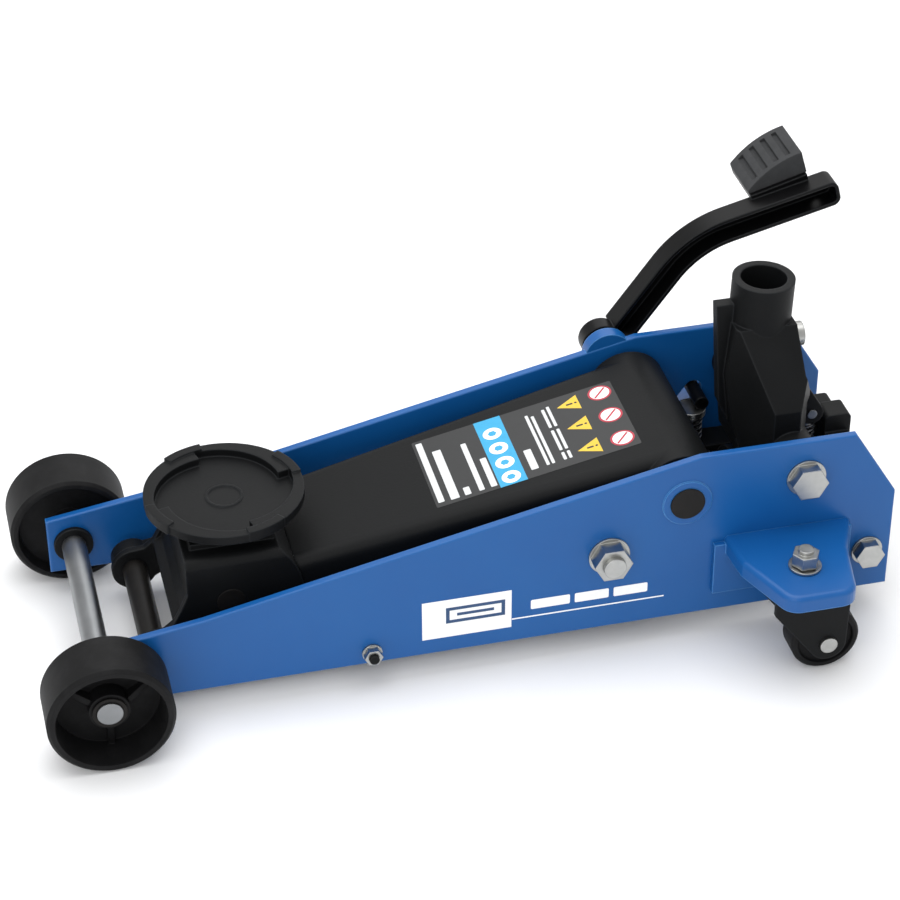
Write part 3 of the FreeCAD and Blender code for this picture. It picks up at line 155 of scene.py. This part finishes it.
white_ink = ink("white vinyl ink", "#F2F3F4", "#FFFFFF")
navy_ink = ink("navy vinyl ink", "#1D3F66", "#244B78")
axle_x = (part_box("front_axle")[0].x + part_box("front_axle")[1].x) / 2
left_face = -0.0923    # the left plate's outer face, in metres from the middle


def on_left_plate(u, v, height):
    """A point on the left plate's outer face, u behind the axle and v above the floor, in mm."""
    return Vector((axle_x + u / 1000, left_face - height, v / 1000))


def rectangle(u0, v0, u1, v1, corner=0.0, steps=5):
    """A rectangle outline, with rounded corners if a radius is given."""
    if corner == 0:
        return [(u0, v0), (u1, v0), (u1, v1), (u0, v1)]
    points = []
    for cu, cv, start in ((u1 - corner, v0 + corner, -90), (u1 - corner, v1 - corner, 0),
                          (u0 + corner, v1 - corner, 90), (u0 + corner, v0 + corner, 180)):
        for i in range(steps + 1):
            angle = math.radians(start + 90 * i / steps)
            points.append((cu + corner * math.cos(angle), cv + corner * math.sin(angle)))
    return points


film("panel_white", "frame", rectangle(251.8, 36.8, 324.2, 73.6), plate_film, on_left_plate, white_ink)
for i, (u0, v0, u1, v1) in enumerate(((271, 50.2, 319, 53.2), (271, 62.6, 319, 65.6),
                                      (271, 53.2, 274, 62.6), (316, 53.2, 319, 62.6))):
    film(f"panel_frame_{i}", "frame", rectangle(u0, v0, u1, v1), plate_print, on_left_plate, navy_ink)
film("panel_bar", "frame", rectangle(280, 56.6, 310, 59.4), plate_print, on_left_plate, navy_ink)
film("stripe_long", "frame", rectangle(324.6, 43.8, 450, 45.0), plate_film, on_left_plate, white_ink)
for i, (u0, u1) in enumerate(((340, 372), (376, 404), (408, 436))):
    film(f"stripe_upper_{i}", "frame", rectangle(u0, 51.5, u1, 60.5, 1.2), plate_film, on_left_plate,
         white_ink)

# Arm, carrier, saddle, handle socket, pump block, links, caster forks and the small black spacers.
# They are cast iron and welded steel under a satin black coat, with a rough cast skin below it.
black_coat, tree = new_finish("satin black coat on cast iron")
place = add(tree, "TexCoord")
sand = add(tree, "TexNoise", {"Vector": place.outputs["Object"], "Scale": 520.0, "Detail": 5.0,
                              "Roughness": 0.6})
cloud = add(tree, "TexNoise", {"Vector": place.outputs["Object"], "Scale": 22.0, "Detail": 4.0})
rounded, edge = bevel_and_highlight_edges(tree, 0.0022, 0.99, 0.75)
coat = add(tree, "Mix", {"Factor": cloud.outputs["Fac"], 6: linear("#0E0F10"), 7: linear("#161718")},
           data_type="RGBA")
# Painted highlight: the edges are mixed towards a lighter grey, standing in for light caught on rounded
# edges.
colour = add(tree, "Mix", {"Factor": edge.outputs["Result"], 6: coat.outputs[2], 7: linear("#2C2E30")},
             data_type="RGBA")
relief = add(tree, "Bump", {"Strength": 0.22, "Distance": 0.0005, "Height": sand.outputs["Fac"],
                            "Normal": rounded.outputs["Normal"]})
shine = add(tree, "MapRange", {"Value": cloud.outputs["Fac"], "To Min": 0.38, "To Max": 0.55})
skin = add(tree, "BsdfPrincipled", {"Base Color": colour.outputs[2], "Roughness": shine.outputs["Result"],
                                    "Normal": relief.outputs["Normal"], "IOR": 1.48,
                                    "Specular IOR Level": 0.12})
add(tree, "OutputMaterial", {"Surface": skin.outputs["BSDF"]})
dress(black_coat, "lift_arm", "saddle_carrier", "saddle", "pump_block", "handle_socket", "oil_tank",
      "ram_cylinder", "link_rod_left", "link_rod_right", "front_tie_bar", "axle_collars",
      "wheel_spacers", "lever_pin", "caster_fork_left", "caster_fork_right")

# Warning label on the arm's top: printed vinyl on the smooth black face, with shapes only.
# A cyan band, pale bars, white discs, yellow triangles and red ringed discs stand for its print.
# The films lie on one another: the field at the bottom, then the print, the marks on it and their dots.
label_film, label_print, label_over, label_top = 0.00012, 0.00018, 0.00024, 0.00030
arm_rise = 0.207          # rise of the arm's top for each unit behind the axle
label_start = 275.8       # the label's front edge, in millimetres behind the axle
arm_height = 71.35        # height of the arm's top plane above the floor at the axle, in millimetres
arm_slope = math.atan(arm_rise)
arm_zero = Vector((axle_x + label_start / 1000, 0, (arm_height + arm_rise * label_start) / 1000))
along = Vector((math.cos(arm_slope), 0, math.sin(arm_slope)))
above = Vector((-math.sin(arm_slope), 0, math.cos(arm_slope)))


def on_arm(u, v, height):
    """A point on the arm's top, u millimetres up its slope and v to the right of its middle."""
    return arm_zero + along * (u / 1000 / math.cos(arm_slope)) + Vector((0, v / 1000, 0)) + above * height


def disc(u, v, radius, steps=28):
    """A disc outline as a polygon."""
    return [(u + radius * math.cos(2 * math.pi * i / steps), v + radius * math.sin(2 * math.pi * i / steps))
            for i in range(steps)]


black_ink = ink("black vinyl ink", "#0E0F10", "#16181A")
cyan_ink = ink("cyan vinyl ink", "#1B94C4", "#2AA5D3")
pale_ink = ink("pale grey ink", "#C9CCCE", "#DADCDD")
yellow_ink = ink("yellow vinyl ink", "#D9B01C", "#E8C33A")
red_ink = ink("red vinyl ink", "#A51D33", "#BE2B40")
film("label_field", "lift_arm", rectangle(0, -45.4, 166, 45.4, 1.5), label_film, on_arm, black_ink)
film("label_band", "lift_arm", rectangle(51.5, -45.4, 73.5, 45.4), label_print, on_arm, cyan_ink)
bars = [(2.5, -40, 7.5, 42), (12.5, -41, 19.5, 26), (24, -41, 29, -31), (35.5, -41, 39.8, 24),
        (45, -41, 50, -2), (79, -36, 85, -9), (91.5, -36, 94.0, 34), (95.8, -36, 98.3, 31),
        (105.5, -36, 108, -26), (110, -36, 112.5, -26), (105.5, -23, 108, 5), (110, -23, 112.5, 5),
        (105.5, 9, 108, 35), (110, 9, 112.5, 37)]
for i, (u0, v0, u1, v1) in enumerate(bars):
    film(f"label_bar_{i}", "lift_arm", rectangle(u0, v0, u1, v1, 0.8, 3), label_print, on_arm, pale_ink)
band_middle = 62.4
for i, v in enumerate((25.0, 4.2, -15.8, -35.8)):
    film(f"label_disc_{i}", "lift_arm", disc(band_middle, v, 7.6), label_over, on_arm, white_ink)
    film(f"label_dot_{i}", "lift_arm", disc(band_middle, v, 3.6, 6), label_top, on_arm, cyan_ink)
for i, v in enumerate((31.2, 0.6, -30.8)):
    film(f"label_triangle_{i}", "lift_arm", [(118, v), (136, v - 9.8), (136, v + 9.8)], label_print,
         on_arm, yellow_ink)
    film(f"label_mark_{i}", "lift_arm", rectangle(125.5, v - 1.0, 131, v + 1.0, 0.6, 3), label_over,
         on_arm, black_ink)
    film(f"label_point_{i}", "lift_arm", disc(133.4, v, 1.1, 12), label_over, on_arm, black_ink)
ring_middle = 154.2
for i, v in enumerate((33.6, 1.5, -31.8)):
    film(f"label_ring_{i}", "lift_arm", disc(ring_middle, v, 9.6, 36), label_print, on_arm, red_ink)
    film(f"label_white_{i}", "lift_arm", disc(ring_middle, v, 7.9, 36), label_over, on_arm, white_ink)
    slash = [(148.4, v - 4.6), (149.6, v - 5.8), (160, v + 4.6), (158.8, v + 5.8)]
    film(f"label_slash_{i}", "lift_arm", slash, label_top, on_arm, red_ink)

# Front wheels and caster wheels: moulded black nylon, hub, web and ribs in one.
# The moulding leaves a fine matt skin, and the tread is scuffed a little greyer by the floor.
nylon, tree = new_finish("moulded black nylon")
place = add(tree, "TexCoord")
skin_grain = add(tree, "TexNoise", {"Vector": place.outputs["Object"], "Scale": 700.0, "Detail": 4.0})
scuff = add(tree, "TexNoise", {"Vector": place.outputs["Object"], "Scale": 60.0, "Detail": 6.0,
                               "Roughness": 0.7})
rounded = add(tree, "Bevel", {"Radius": 0.0015}, samples=6)
worn = add(tree, "MapRange", {"Value": scuff.outputs["Fac"], "From Min": 0.45, "From Max": 0.75})
colour = add(tree, "Mix", {"Factor": worn.outputs["Result"], 6: linear("#111112"), 7: linear("#1B1B1C")},
             data_type="RGBA")
relief = add(tree, "Bump", {"Strength": 0.18, "Distance": 0.0003, "Height": skin_grain.outputs["Fac"],
                            "Normal": rounded.outputs["Normal"]})
skin = add(tree, "BsdfPrincipled", {"Base Color": colour.outputs[2], "Roughness": 0.58,
                                    "Normal": relief.outputs["Normal"], "IOR": 1.53,
                                    "Specular IOR Level": 0.14})
add(tree, "OutputMaterial", {"Surface": skin.outputs["BSDF"]})
dress(nylon, "front_wheel_left", "front_wheel_right", "caster_wheel_left", "caster_wheel_right")

# Axle, shafts, pins and rollers: turned mild steel, left bare and lightly oiled.
# The lathe leaves fine rings round each shaft, drawn here about 0.8 mm apart so that they show.
turned_steel, tree = new_finish("turned mild steel")
place = add(tree, "TexCoord")
rings = add(tree, "TexWave", {"Vector": place.outputs["Object"], "Scale": 400.0, "Distortion": 1.5,
                              "Detail": 2.0}, bands_direction="Y")
stain = add(tree, "TexNoise", {"Vector": place.outputs["Object"], "Scale": 45.0, "Detail": 5.0})
rounded = add(tree, "Bevel", {"Radius": 0.0008}, samples=6)
tone = add(tree, "Mix", {"Factor": stain.outputs["Fac"], 6: linear("#77797B"), 7: linear("#999B9D")},
           data_type="RGBA")
relief = add(tree, "Bump", {"Strength": 0.08, "Distance": 0.0002, "Height": rings.outputs["Fac"],
                            "Normal": rounded.outputs["Normal"]})
shine = add(tree, "MapRange", {"Value": stain.outputs["Fac"], "To Min": 0.30, "To Max": 0.48})
skin = add(tree, "BsdfPrincipled", {"Base Color": tone.outputs[2], "Metallic": 1.0,
                                    "Roughness": shine.outputs["Result"], "Normal": relief.outputs["Normal"]})
add(tree, "OutputMaterial", {"Surface": skin.outputs["BSDF"]})
dress(turned_steel, "front_axle", "socket_roller", "roller_pin", "lever_roller", "ram_gland",
      "release_spindle", "release_driver")

# Main shaft, front link shaft, carrier pin, pedal stud and clips: steel, chemically blackened against rust.
# Blackening leaves a dark brown oxide that still shows a little of the metal's gloss.
oxide, tree = new_finish("blackened steel")
place = add(tree, "TexCoord")
patch = add(tree, "TexNoise", {"Vector": place.outputs["Object"], "Scale": 90.0, "Detail": 6.0})
rounded = add(tree, "Bevel", {"Radius": 0.0012}, samples=6)
tone = add(tree, "Mix", {"Factor": patch.outputs["Fac"], 6: linear("#151414"), 7: linear("#242220")},
           data_type="RGBA")
relief = add(tree, "Bump", {"Strength": 0.15, "Distance": 0.0002, "Height": patch.outputs["Fac"],
                            "Normal": rounded.outputs["Normal"]})
skin = add(tree, "BsdfPrincipled", {"Base Color": tone.outputs[2], "Metallic": 0.3, "Roughness": 0.46,
                                    "Specular IOR Level": 0.2, "Normal": relief.outputs["Normal"]})
add(tree, "OutputMaterial", {"Surface": skin.outputs["BSDF"]})
dress(oxide, "main_pivot_shaft", "front_link_shaft", "carrier_pin", "pedal_stud", "wheel_clips",
      "link_clips")

# Nuts, bolts, caster races, pump plungers and their caps: steel plated with bright zinc.
# The plating is a cool silver, a little cloudy, with soft corners.
zinc, tree = new_finish("bright zinc plate")
place = add(tree, "TexCoord")
bloom = add(tree, "TexNoise", {"Vector": place.outputs["Object"], "Scale": 130.0, "Detail": 5.0})
rounded = add(tree, "Bevel", {"Radius": 0.0011}, samples=6)
tone = add(tree, "Mix", {"Factor": bloom.outputs["Fac"], 6: linear("#9A9B99"), 7: linear("#BDBDBA")},
           data_type="RGBA")
relief = add(tree, "Bump", {"Strength": 0.10, "Distance": 0.0002, "Height": bloom.outputs["Fac"],
                            "Normal": rounded.outputs["Normal"]})
shine = add(tree, "MapRange", {"Value": bloom.outputs["Fac"], "To Min": 0.22, "To Max": 0.42})
skin = add(tree, "BsdfPrincipled", {"Base Color": tone.outputs[2], "Metallic": 1.0,
                                    "Roughness": shine.outputs["Result"], "Normal": relief.outputs["Normal"]})
add(tree, "OutputMaterial", {"Surface": skin.outputs["BSDF"]})
dress(zinc, "link_nuts", "link_bolts", "handle_bolts", "block_bolts", "front_tie_nuts", "caster_stem_left",
      "caster_stem_right", "caster_axle_left", "caster_axle_right", "caster_races", "handle_lock_screw",
      "filler_plug", "hand_plunger", "hand_gland", "quick_plunger")

# Ram: a ground bar with hard chrome, the only mirror-bright piece.
chrome, tree = new_finish("hard chrome")
place = add(tree, "TexCoord")
haze = add(tree, "TexNoise", {"Vector": place.outputs["Object"], "Scale": 80.0, "Detail": 3.0})
shine = add(tree, "MapRange", {"Value": haze.outputs["Fac"], "To Min": 0.06, "To Max": 0.16})
skin = add(tree, "BsdfPrincipled", {"Base Color": linear("#D5D7D9"), "Metallic": 1.0,
                                    "Roughness": shine.outputs["Result"]})
add(tree, "OutputMaterial", {"Surface": skin.outputs["BSDF"]})
dress(chrome, "ram")

# Arm bushes: sintered bronze, oil-soaked and slightly porous.
bronze, tree = new_finish("sintered bronze")
place = add(tree, "TexCoord")
pores = add(tree, "TexNoise", {"Vector": place.outputs["Object"], "Scale": 900.0, "Detail": 3.0})
tone = add(tree, "Mix", {"Factor": pores.outputs["Fac"], 6: linear("#6E5130"), 7: linear("#A27C4C")},
           data_type="RGBA")
relief = add(tree, "Bump", {"Strength": 0.2, "Distance": 0.0002, "Height": pores.outputs["Fac"]})
skin = add(tree, "BsdfPrincipled", {"Base Color": tone.outputs[2], "Metallic": 0.9, "Roughness": 0.42,
                                    "Normal": relief.outputs["Normal"]})
add(tree, "OutputMaterial", {"Surface": skin.outputs["BSDF"]})
dress(bronze, "arm_bushes")

# Springs: drawn spring wire, blued by its heat treatment and oiled.
spring_wire, tree = new_finish("oiled spring wire")
place = add(tree, "TexCoord")
film_of_oil = add(tree, "TexNoise", {"Vector": place.outputs["Object"], "Scale": 200.0, "Detail": 4.0})
tone = add(tree, "Mix", {"Factor": film_of_oil.outputs["Fac"], 6: linear("#4A4B4F"), 7: linear("#73757A")},
           data_type="RGBA")
skin = add(tree, "BsdfPrincipled", {"Base Color": tone.outputs[2], "Metallic": 1.0, "Roughness": 0.34})
add(tree, "OutputMaterial", {"Surface": skin.outputs["BSDF"]})
dress(spring_wire, "hand_spring", "quick_spring", "pedal_spring", "return_springs")

# Pedal lever: a pressed steel channel in gloss black, smoother than the castings.
# The coat is a little uneven, in soft patches about 30 mm across.
gloss_black, tree = new_finish("gloss black paint on pressed steel")
place = add(tree, "TexCoord")
streak = add(tree, "TexNoise", {"Vector": place.outputs["Object"], "Scale": 35.0, "Detail": 6.0})
rounded, edge = bevel_and_highlight_edges(tree, 0.0022, 0.99, 0.75)
coat = add(tree, "Mix", {"Factor": streak.outputs["Fac"], 6: linear("#060607"), 7: linear("#0C0C0D")},
           data_type="RGBA")
# Painted highlight: the edges are mixed towards a lighter grey, standing in for light caught on rounded
# edges.
colour = add(tree, "Mix", {"Factor": edge.outputs["Result"], 6: coat.outputs[2], 7: linear("#26282A")},
             data_type="RGBA")
relief = add(tree, "Bump", {"Strength": 0.08, "Distance": 0.0003, "Height": streak.outputs["Fac"],
                            "Normal": rounded.outputs["Normal"]})
skin = add(tree, "BsdfPrincipled", {"Base Color": colour.outputs[2], "Roughness": 0.34,
                                    "Normal": relief.outputs["Normal"], "IOR": 1.5,
                                    "Specular IOR Level": 0.12})
add(tree, "OutputMaterial", {"Surface": skin.outputs["BSDF"]})
dress(gloss_black, "pedal_lever")

# Pedal tread: a moulded grey rubber block with cross grooves, pressed on the lever's plate.
# Natural rubber is matt, with a dusty bloom in patches.
tread_rubber, tree = new_finish("moulded grey rubber")
place = add(tree, "TexCoord")
dust = add(tree, "TexNoise", {"Vector": place.outputs["Object"], "Scale": 90.0, "Detail": 6.0,
                              "Roughness": 0.7})
skin_grain = add(tree, "TexNoise", {"Vector": place.outputs["Object"], "Scale": 900.0, "Detail": 2.0})
rounded = add(tree, "Bevel", {"Radius": 0.0015}, samples=6)
tone = add(tree, "Mix", {"Factor": dust.outputs["Fac"], 6: linear("#292A2B"), 7: linear("#3F4042")},
           data_type="RGBA")
relief = add(tree, "Bump", {"Strength": 0.2, "Distance": 0.0003, "Height": skin_grain.outputs["Fac"],
                            "Normal": rounded.outputs["Normal"]})
skin = add(tree, "BsdfPrincipled", {"Base Color": tone.outputs[2], "Roughness": 0.8,
                                    "Normal": relief.outputs["Normal"], "IOR": 1.52,
                                    "Specular IOR Level": 0.25})
add(tree, "OutputMaterial", {"Surface": skin.outputs["BSDF"]})
dress(tread_rubber, "pedal_pad")

# Floor and light: a plain pale floor under three soft studio panels.
# A large one hangs above, one stands ahead on the left and one stands behind on the right.
floor_mesh = bpy.data.meshes.new("floor")
floor_mesh.from_pydata([(-6, -6, 0), (6, -6, 0), (6, 6, 0), (-6, 6, 0)], [], [(0, 1, 2, 3)])
floor = bpy.data.objects.new("floor", floor_mesh)
bpy.context.collection.objects.link(floor)
floor_paint, tree = new_finish("pale floor paint")
place = add(tree, "TexCoord")
fleck = add(tree, "TexNoise", {"Vector": place.outputs["Object"], "Scale": 8.0, "Detail": 2.0})
tone = add(tree, "Mix", {"Factor": fleck.outputs["Fac"], 6: linear("#F4F5F6"), 7: linear("#F9F9FA")},
           data_type="RGBA")
skin = add(tree, "BsdfPrincipled", {"Base Color": tone.outputs[2], "Roughness": 0.8})
add(tree, "OutputMaterial", {"Surface": skin.outputs["BSDF"]})
floor_mesh.materials.append(floor_paint)


def panel(name, position, size, power):
    """A square studio light panel facing the jack."""
    lamp = bpy.data.lights.new(name, "AREA")
    lamp.shape = "SQUARE"
    lamp.size = size
    lamp.energy = power
    holder = bpy.data.objects.new(name, lamp)
    bpy.context.collection.objects.link(holder)
    holder.location = position
    holder.rotation_euler = (Vector((0, 0, 0.08)) - Vector(position)).to_track_quat("-Z", "Y").to_euler()


panel("top_panel", (-0.1, 0.2, 2.0), 2.2, 34)
panel("left_panel", (-0.9, -1.6, 1.1), 1.4, 10)
panel("back_panel", (0.6, 1.8, 1.3), 1.6, 8)
sky = bpy.data.worlds.new("studio")
sky.use_nodes = True
sky.node_tree.nodes["Background"].inputs["Color"].default_value = (1, 1, 1, 1)
sky.node_tree.nodes["Background"].inputs["Strength"].default_value = 0.75
bpy.context.scene.world = sky
bpy.context.scene.view_settings.view_transform = "Standard"

# Camera: above the front left corner, with a long lens.
lens = bpy.data.cameras.new("camera")
focal_in_frames = 2731.33 / 900    # focal length over the width of the square frame
lens.sensor_width = 36
lens.lens = focal_in_frames * lens.sensor_width
lens.clip_end = 20
camera = bpy.data.objects.new("camera", lens)
bpy.context.collection.objects.link(camera)
camera.location = (axle_x - 0.11568, -1.72344, 1.39791)
camera.rotation_euler = [math.radians(a) for a in (54.839, 0.26, -13.655)]
bpy.context.scene.camera = camera
